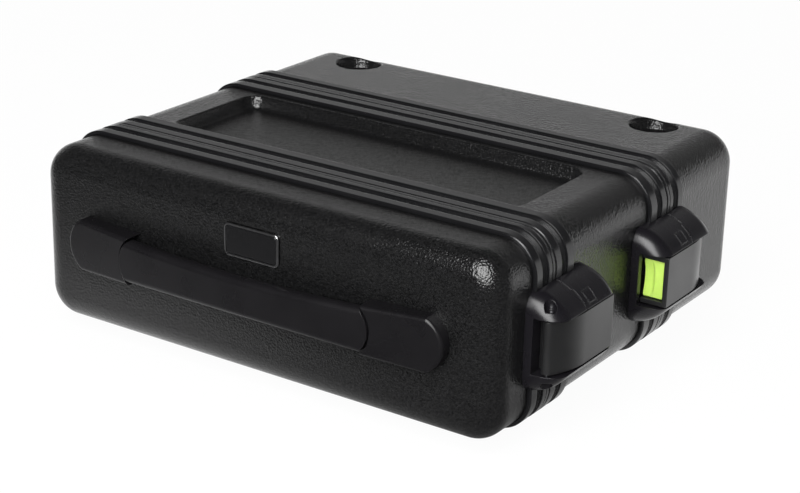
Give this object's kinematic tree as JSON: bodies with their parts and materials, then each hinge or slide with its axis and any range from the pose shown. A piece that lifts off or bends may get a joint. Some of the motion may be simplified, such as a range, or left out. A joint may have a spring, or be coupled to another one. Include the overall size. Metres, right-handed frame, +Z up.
{
  "type": "microphone case",
  "caption": "Hard plastic transport case that lies flat, with lift-off front and rear lids, trigger latches on its sides, a strap handle and foam-lined bays for microphones and a receiver.",
  "frame": {"origin": "on the ground under the middle of the case's outline", "axes": "+X across the case, +Y towards its rear lid, +Z up"},
  "size_m": [0.4564, 0.378, 0.151],
  "materials": {
    "shell_plastic": "pebbled black polyethylene",
    "valance_metal": "black anodised extrusion",
    "seal_rubber": "black foam rubber",
    "foot_rubber": "black rubber",
    "zinc_steel": "zinc plated",
    "bright_steel": "bright stainless",
    "cap_plastic": "black moulded plastic",
    "grip_rubber": "soft black grip",
    "badge_rim": "bright bevelled rim",
    "badge_gloss": "glossy black, bare",
    "latch_plastic": "satin black moulding",
    "lever_plastic": "fine matt black moulding",
    "trigger_plastic": "lime green moulding",
    "foam": "charcoal foam"
  },
  "bodies": {
    "body": {"body_shell": "shell_plastic", "body_front_valance": "valance_metal", "body_rear_valance": "valance_metal", "body_feet": "foot_rubber", "body_foot_screws": "zinc_steel", "body_foam_floor": "foam", "body_foam_ceiling": "foam", "body_foam_left": "foam", "body_foam_right": "foam", "body_foam_divider": "foam", "keeper_rivets": "bright_steel", "front_left_keeper": "latch_plastic", "front_right_keeper": "latch_plastic", "rear_left_keeper": "latch_plastic", "rear_right_keeper": "latch_plastic"},
    "front_lid": {"front_lid_shell": "shell_plastic", "front_lid_valance": "valance_metal", "front_seal": "seal_rubber", "front_lid_foam": "foam", "left_handle_cap": "cap_plastic", "right_handle_cap": "cap_plastic", "handle_backing_plates": "zinc_steel", "handle_screws": "zinc_steel", "badge_bezel": "badge_rim", "badge_face": "badge_gloss", "front_latch_pins": "bright_steel", "front_latch_rivets": "bright_steel", "front_left_latch_base": "latch_plastic", "front_right_latch_base": "latch_plastic"},
    "rear_lid": {"rear_lid_shell": "shell_plastic", "rear_lid_valance": "valance_metal", "rear_seal": "seal_rubber", "rear_lid_foam": "foam", "rear_feet": "foot_rubber", "rear_foot_screws": "zinc_steel", "rear_latch_pins": "bright_steel", "rear_latch_rivets": "bright_steel", "rear_left_latch_base": "latch_plastic", "rear_right_latch_base": "latch_plastic"},
    "handle": {"handle_grip": "grip_rubber", "handle_strap": "zinc_steel"},
    "front_left_lever": {"front_left_lever": "lever_plastic", "front_left_claw": "zinc_steel", "front_left_trigger_spring": "bright_steel"},
    "front_left_trigger": {"front_left_trigger": "trigger_plastic"},
    "front_right_lever": {"front_right_lever": "lever_plastic", "front_right_claw": "zinc_steel", "front_right_trigger_spring": "bright_steel"},
    "front_right_trigger": {"front_right_trigger": "trigger_plastic"},
    "rear_left_lever": {"rear_left_lever": "lever_plastic", "rear_left_claw": "zinc_steel", "rear_left_trigger_spring": "bright_steel"},
    "rear_left_trigger": {"rear_left_trigger": "trigger_plastic"},
    "rear_right_lever": {"rear_right_lever": "lever_plastic", "rear_right_claw": "zinc_steel", "rear_right_trigger_spring": "bright_steel"},
    "rear_right_trigger": {"rear_right_trigger": "trigger_plastic"}
  },
  "joints": [
    {"name": "front_lid_slide", "type": "slide", "parent": "body", "child": "front_lid", "axis": [0, -1, 0], "range_m": [0, 0.12]},
    {"name": "rear_lid_slide", "type": "slide", "parent": "body", "child": "rear_lid", "axis": [0, 1, 0], "range_m": [0, 0.15]},
    {"name": "handle_lift", "type": "slide", "parent": "front_lid", "child": "handle", "axis": [0, -1, 0], "range_m": [0, 0.0035]},
    {"name": "front_left_lever_hinge", "type": "hinge", "parent": "front_lid", "child": "front_left_lever", "pos_m": [-0.2162, -0.127, 0.0795], "axis": [0, 0, 1], "range_deg": [0, 100]},
    {"name": "front_left_trigger_press", "type": "slide", "parent": "front_left_lever", "child": "front_left_trigger", "axis": [0, -1, 0], "range_m": [0, 0.003], "stiffness_N_per_m": 400, "deforming": ["front_left_trigger_spring"]},
    {"name": "front_right_lever_hinge", "type": "hinge", "parent": "front_lid", "child": "front_right_lever", "pos_m": [0.2162, -0.127, 0.0795], "axis": [0, 0, -1], "range_deg": [0, 100]},
    {"name": "front_right_trigger_press", "type": "slide", "parent": "front_right_lever", "child": "front_right_trigger", "axis": [0, -1, 0], "range_m": [0, 0.003], "stiffness_N_per_m": 400, "deforming": ["front_right_trigger_spring"]},
    {"name": "rear_left_lever_hinge", "type": "hinge", "parent": "rear_lid", "child": "rear_left_lever", "pos_m": [-0.2162, 0.0895, 0.0795], "axis": [0, 0, -1], "range_deg": [0, 100]},
    {"name": "rear_left_trigger_press", "type": "slide", "parent": "rear_left_lever", "child": "rear_left_trigger", "axis": [0, 1, 0], "range_m": [0, 0.003], "stiffness_N_per_m": 400, "deforming": ["rear_left_trigger_spring"]},
    {"name": "rear_right_lever_hinge", "type": "hinge", "parent": "rear_lid", "child": "rear_right_lever", "pos_m": [0.2162, 0.0895, 0.0795], "axis": [0, 0, 1], "range_deg": [0, 100]},
    {"name": "rear_right_trigger_press", "type": "slide", "parent": "rear_right_lever", "child": "rear_right_trigger", "axis": [0, 1, 0], "range_m": [0, 0.003], "stiffness_N_per_m": 400, "deforming": ["rear_right_trigger_spring"]}
  ]
}
